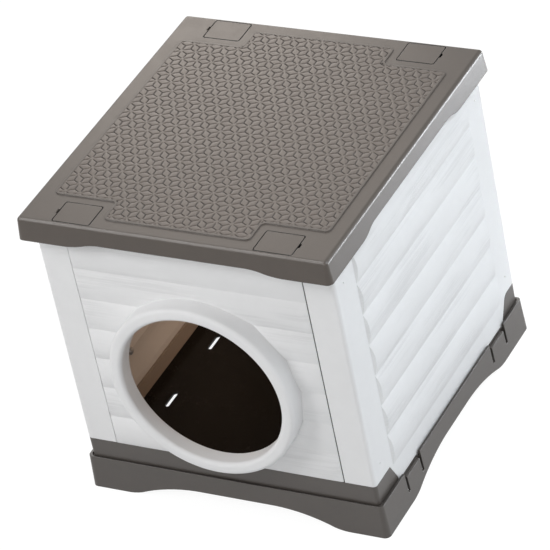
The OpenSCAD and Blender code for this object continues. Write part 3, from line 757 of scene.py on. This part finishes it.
finishes = {
    "base": baseTaupe, "roof": roofTaupe,
    "cover_front_left": roofTaupe, "cover_front_right": roofTaupe,
    "cover_back_left": roofTaupe, "cover_back_right": roofTaupe,
    "left_panel": sideWhite, "right_panel": sideWhite,
    "front_panel": frontWhite, "back_panel": backWhite,
    "floor_tray": floorBlack, "roof_screws": zinc, "corner_screws": zinc, "wall_studs": zinc,
}
for name, material in finishes.items():
    for slot in houseNodes[name].material_slots:
        slot.material = material
print("finishes given to", len(finishes), "pieces")

siding = frontSiding(sidingSettings, frontWhite)
print("front siding:", len(siding.data.polygons), "faces")

pads = treadPads(padSettings, treadTaupe)
print("tread pads:", len(pads.data.polygons), "faces")


# studio
studio = {
    "air": 0.30,
    "floorColour": (0.55, 0.55, 0.55),
    "floorShare": 0.75,
    "floorGlow": 1.24,
    "floorSize": 30.0,
    "lamps": {
        "keyLamp": {"at": (-1.25, -1.6, 1.95), "aim": (0, -0.15, 0.25), "size": (1.1, 1.1), "power": 26},
        "frontLamp": {"at": (0.6, -2.4, 1.2), "aim": (0, -0.2, 0.2), "size": (1.6, 1.6), "power": 12.5},
        "rightLamp": {"at": (1.9, 0.45, 1.95), "aim": (0.2, 0, 0.2), "size": (1.3, 1.3), "power": 37,
                      "tint": (0.94, 1, 1.05)},
        "roofLamp": {"at": (-0.8, 1.15, 1.0), "aim": (-0.1, 0.15, 0.43), "size": (0.6, 0.6), "power": 4,
                     "tint": (1, 0.9, 0.81)},
        "backLamp": {"at": (0.95, 0.95, 0.17), "aim": (0.2, 0.1, 0.25), "size": (0.8, 0.3), "power": 18,
                     "tint": (0.95, 1, 1.05), "pieces": ("roof", "base"), "glossOnly": True},
        "overLamp": {"at": (-0.9, -0.35, 2.2), "aim": (0, -0.2, 0.43), "size": (0.9, 0.9), "power": 18,
                     "pieces": ("roof", "base"), "glossOnly": True},
        "rearLamp": {"at": (-1.3, 1.9, 1.1), "aim": (0, 0.1, 0.2), "size": (1.4, 1.4), "power": 16,
                     "pieces": ("back_panel", "left_panel", "base")},
        "patchLamp": {"at": (0.5, 0.5, 0.5), "aim": (0.5, 0.5, 0), "size": (0.25, 0.3), "power": 2.2,
                      "tint": (0.95, 1, 1.05), "spread": 1.4},
    },
    "cabin": {"at": (0.02, 0.08, 0.15), "radius": 0.06, "power": 0.38, "tint": (1, 0.70, 0.50)},
}


def seenRays(tree, at):
    path = addNode(tree, "ShaderNodeLightPath", at)
    seen = path.outputs["Is Camera Ray"]
    for kind in ("Is Glossy Ray", "Is Transmission Ray"):
        seen = mathNode(tree, (at[0] + 200, at[1]), "MAXIMUM", seen, path.outputs[kind])
    return seen


def makeAir(look):
    world = bpy.data.worlds.new("studioAir")
    bpy.context.scene.world = world
    world.use_nodes = True
    tree = world.node_tree
    tree.nodes.clear()
    soft = addNode(tree, "ShaderNodeBackground", (0, 100))
    soft.inputs["Strength"].default_value = look["air"]
    white = addNode(tree, "ShaderNodeBackground", (0, -100))
    soft.inputs["Color"].default_value = white.inputs["Color"].default_value = (1, 1, 1, 1)
    blend = addNode(tree, "ShaderNodeMixShader", (250, 0))
    feed(tree, seenRays(tree, (-500, 0)), blend.inputs[0])
    feed(tree, soft.outputs[0], blend.inputs[1])
    feed(tree, white.outputs[0], blend.inputs[2])
    out = addNode(tree, "ShaderNodeOutputWorld", (450, 0))
    feed(tree, blend.outputs[0], out.inputs["Surface"])


def makeFloor(look):
    half = look["floorSize"] / 2
    mesh = bpy.data.meshes.new("studioFloor")
    corners = [(-half, -half, 0), (half, -half, 0), (half, half, 0), (-half, half, 0)]
    mesh.from_pydata(corners, [], [(0, 1, 2, 3)])
    ground = bpy.data.objects.new("studioFloor", mesh)
    bpy.context.scene.collection.objects.link(ground)
    material = bpy.data.materials.new("studioFloor")
    material.use_nodes = True
    tree = material.node_tree
    tree.nodes.clear()
    matte = addNode(tree, "ShaderNodeBsdfDiffuse", (0, 100))
    matte.inputs["Color"].default_value = (*look["floorColour"], 1)
    glow = addNode(tree, "ShaderNodeEmission", (0, -100))
    glow.inputs["Strength"].default_value = look["floorGlow"]
    blend = addNode(tree, "ShaderNodeMixShader", (250, 0))
    share = mathNode(tree, (50, 300), "MULTIPLY", seenRays(tree, (-500, 300)), look["floorShare"])
    feed(tree, share, blend.inputs[0])
    feed(tree, matte.outputs[0], blend.inputs[1])
    feed(tree, glow.outputs[0], blend.inputs[2])
    out = addNode(tree, "ShaderNodeOutputMaterial", (450, 0))
    feed(tree, blend.outputs[0], out.inputs["Surface"])
    mesh.materials.append(material)


def makeLamp(name, look):
    lamp = bpy.data.lights.new(name, "AREA")
    lamp.shape = "RECTANGLE"
    lamp.size, lamp.size_y = look["size"]
    lamp.energy = look["power"]
    lamp.color = look.get("tint", (1, 1, 1))
    lamp.spread = look.get("spread", math.pi)
    holder = bpy.data.objects.new(name, lamp)
    holder.location = look["at"]
    holder.rotation_euler = (Vector(look["at"]) - Vector(look["aim"])).to_track_quat("Z", "Y").to_euler()
    holder.visible_camera = False
    holder.visible_diffuse = not look.get("glossOnly", False)
    if "pieces" in look:  # light for these pieces, none on the rest
        lit = bpy.data.collections.new(name + "Pieces")
        for piece in look["pieces"]:
            lit.objects.link(houseNodes[piece])
        holder.light_linking.receiver_collection = lit
    bpy.context.scene.collection.objects.link(holder)


# stands in for the warm light that comes through the thin white walls
def makeCabinLight(look):
    lamp = bpy.data.lights.new("cabinLight", "POINT")
    lamp.shadow_soft_size = look["radius"]
    lamp.energy = look["power"]
    lamp.color = look["tint"]
    lamp.specular_factor = 0.0
    holder = bpy.data.objects.new("cabinLight", lamp)
    holder.location = look["at"]
    holder.visible_camera = holder.visible_glossy = False
    bpy.context.scene.collection.objects.link(holder)


makeAir(studio)
makeFloor(studio)
for lampName, lampLook in studio["lamps"].items():
    makeLamp(lampName, lampLook)
makeCabinLight(studio["cabin"])
print("studio ready")


# camera at the photograph's angle, a long lens with the horizon tipped
cameraPlace = {
    "at": (2.082577, -3.175795, 2.889968),
    "right": (0.88323, 0.43562, -0.17361),
    "down": (0.13225, -0.58657, -0.79903),
    "forward": (-0.44990, 0.68277, -0.57569),
    "lens": 243.36,
}


def makeCamera(look):
    camera = bpy.data.cameras.new("photoCamera")
    camera.lens = look["lens"]
    camera.sensor_width = 36.0
    camera.sensor_fit = "HORIZONTAL"
    camera.clip_end = 60.0
    holder = bpy.data.objects.new("photoCamera", camera)
    turn = Matrix((look["right"], -Vector(look["down"]), -Vector(look["forward"]))).transposed()
    holder.matrix_world = Matrix.Translation(look["at"]) @ turn.to_4x4()
    bpy.context.scene.collection.objects.link(holder)
    bpy.context.scene.camera = holder


makeCamera(cameraPlace)
bpy.context.scene.view_settings.view_transform = "Standard"
